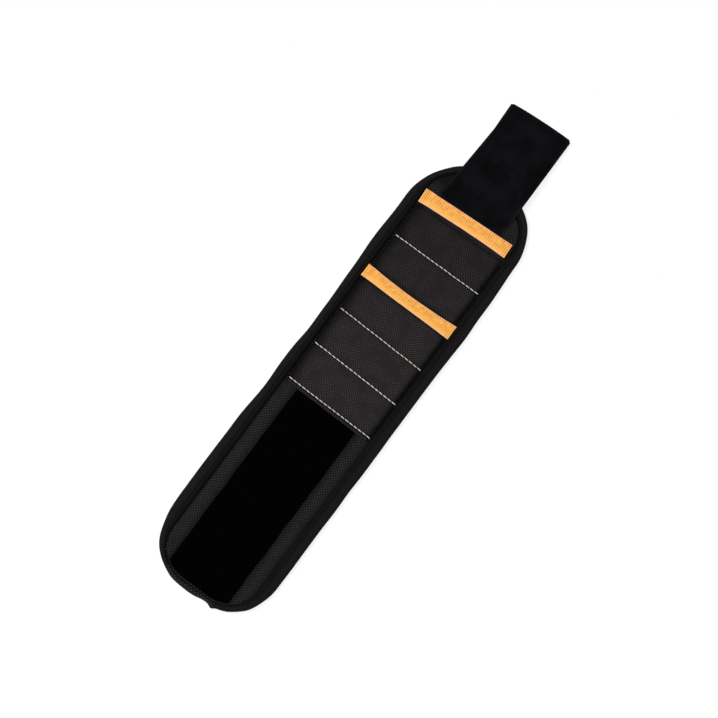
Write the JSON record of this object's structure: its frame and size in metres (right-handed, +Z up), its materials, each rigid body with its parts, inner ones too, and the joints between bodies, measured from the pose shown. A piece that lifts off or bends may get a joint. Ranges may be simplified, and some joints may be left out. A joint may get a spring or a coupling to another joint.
{
  "type": "magnetic wristband",
  "caption": "Flat bound fabric wristband with sewn magnet pockets, elastic tapes, a loop tape and a folding hook strap; it curls round a wrist and holds screws and bits.",
  "frame": {"origin": "middle of the flat-laid wristband's outline, on the surface that it lies on", "axes": "+X along the band from the loop end to the strap, +Y across the band, +Z up off its face"},
  "size_m": [0.3934, 0.09, 0.0081],
  "materials": {
    "cloth": "heavy basket-weave polyester, dark charcoal",
    "lining": "padded spacer mesh, black",
    "binding": "ribbed woven binding tape, black",
    "loop": "loop pile tape, deep black",
    "panel": "heavy basket-weave polyester, charcoal, with tan seams",
    "tape": "ribbed elastic tape, bright orange",
    "strap": "woven strap, black, fine cross ribs",
    "hook": "moulded nylon hooks on a woven tape, black",
    "magnet": "nickel-plated bar magnet"
  },
  "bodies": {
    "toe": {"lining_toe": "lining", "cloth_toe": "cloth", "binding_toe": "binding", "loop_tape_toe": "loop"},
    "loop_mid": {"lining_loop_mid": "lining", "cloth_loop_mid": "cloth", "binding_left_loop_mid": "binding", "binding_right_loop_mid": "binding", "loop_tape_loop_mid": "loop"},
    "loop_inner": {"lining_loop_inner": "lining", "cloth_loop_inner": "cloth", "binding_left_loop_inner": "binding", "binding_right_loop_inner": "binding", "loop_tape_loop_inner": "loop"},
    "row_5": {"lining_row_5": "lining", "cloth_row_5": "cloth", "binding_left_row_5": "binding", "binding_right_row_5": "binding", "magnet_pocket_5": "panel", "magnet_5_left": "magnet", "magnet_5_right": "magnet"},
    "row_4": {"lining_row_4": "lining", "cloth_row_4": "cloth", "binding_left_row_4": "binding", "binding_right_row_4": "binding", "magnet_pocket_4": "panel", "magnet_4_left": "magnet", "magnet_4_right": "magnet"},
    "row_3": {"lining_row_3": "lining", "cloth_row_3": "cloth", "binding_left_row_3": "binding", "binding_right_row_3": "binding", "magnet_pocket_3": "panel", "magnet_3_left": "magnet", "magnet_3_right": "magnet", "elastic_tape_lower": "tape"},
    "row_2": {"lining_row_2": "lining", "cloth_row_2": "cloth", "binding_left_row_2": "binding", "binding_right_row_2": "binding", "magnet_pocket_2": "panel", "magnet_2_left": "magnet", "magnet_2_right": "magnet"},
    "row_1": {"lining_row_1": "lining", "cloth_row_1": "cloth", "binding_left_row_1": "binding", "binding_right_row_1": "binding", "magnet_pocket_1": "panel", "magnet_1_left": "magnet", "magnet_1_right": "magnet"},
    "crown": {"lining_crown": "lining", "cloth_crown": "cloth", "binding_crown": "binding", "panel_top_edge": "panel", "elastic_tape_upper": "tape", "strap_root": "strap"},
    "strap": {"strap_tail": "strap", "hook_tape": "hook"}
  },
  "joints": [
    {"name": "wrap", "type": "hinge", "parent": "row_5", "child": "row_4", "pos_m": [-0.01347, 0, 0], "axis": [0, 1, 0], "range_deg": [0, 40]},
    {"name": "wrap_row_3", "type": "hinge", "parent": "row_4", "child": "row_3", "pos_m": [0.01493, 0, 0], "axis": [0, 1, 0], "range_deg": [0, 40.5]},
    {"name": "wrap_row_2", "type": "hinge", "parent": "row_3", "child": "row_2", "pos_m": [0.05133, 0, 0], "axis": [0, 1, 0], "range_deg": [0, 36.5]},
    {"name": "wrap_row_1", "type": "hinge", "parent": "row_2", "child": "row_1", "pos_m": [0.07723, 0, 0], "axis": [0, 1, 0], "range_deg": [0, 28.5]},
    {"name": "wrap_crown", "type": "hinge", "parent": "row_1", "child": "crown", "pos_m": [0.10293, 0, 0], "axis": [0, 1, 0], "range_deg": [0, 34.5]},
    {"name": "wrap_loop_inner", "type": "hinge", "parent": "row_5", "child": "loop_inner", "pos_m": [-0.04527, 0, 0], "axis": [0, -1, 0], "range_deg": [0, 58.5]},
    {"name": "wrap_loop_mid", "type": "hinge", "parent": "loop_inner", "child": "loop_mid", "pos_m": [-0.09577, 0, 0], "axis": [0, -1, 0], "range_deg": [0, 78.5]},
    {"name": "wrap_toe", "type": "hinge", "parent": "loop_mid", "child": "toe", "pos_m": [-0.14577, 0, 0], "axis": [0, -1, 0], "range_deg": [0, 84.5]},
    {"name": "strap_fold", "type": "hinge", "parent": "crown", "child": "strap", "pos_m": [0.14723, 0, 0.0058], "axis": [0, 1, 0], "range_deg": [-100, 73]}
  ],
  "couplings": [
    {"joint": "wrap_row_3", "follows": "wrap", "ratio": 1},
    {"joint": "wrap_row_2", "follows": "wrap", "ratio": 0.9},
    {"joint": "wrap_row_1", "follows": "wrap", "ratio": 0.7},
    {"joint": "wrap_crown", "follows": "wrap", "ratio": 0.85},
    {"joint": "wrap_loop_inner", "follows": "wrap", "ratio": 1.45},
    {"joint": "wrap_loop_mid", "follows": "wrap", "ratio": 1.95},
    {"joint": "wrap_toe", "follows": "wrap", "ratio": 2.1}
  ]
}
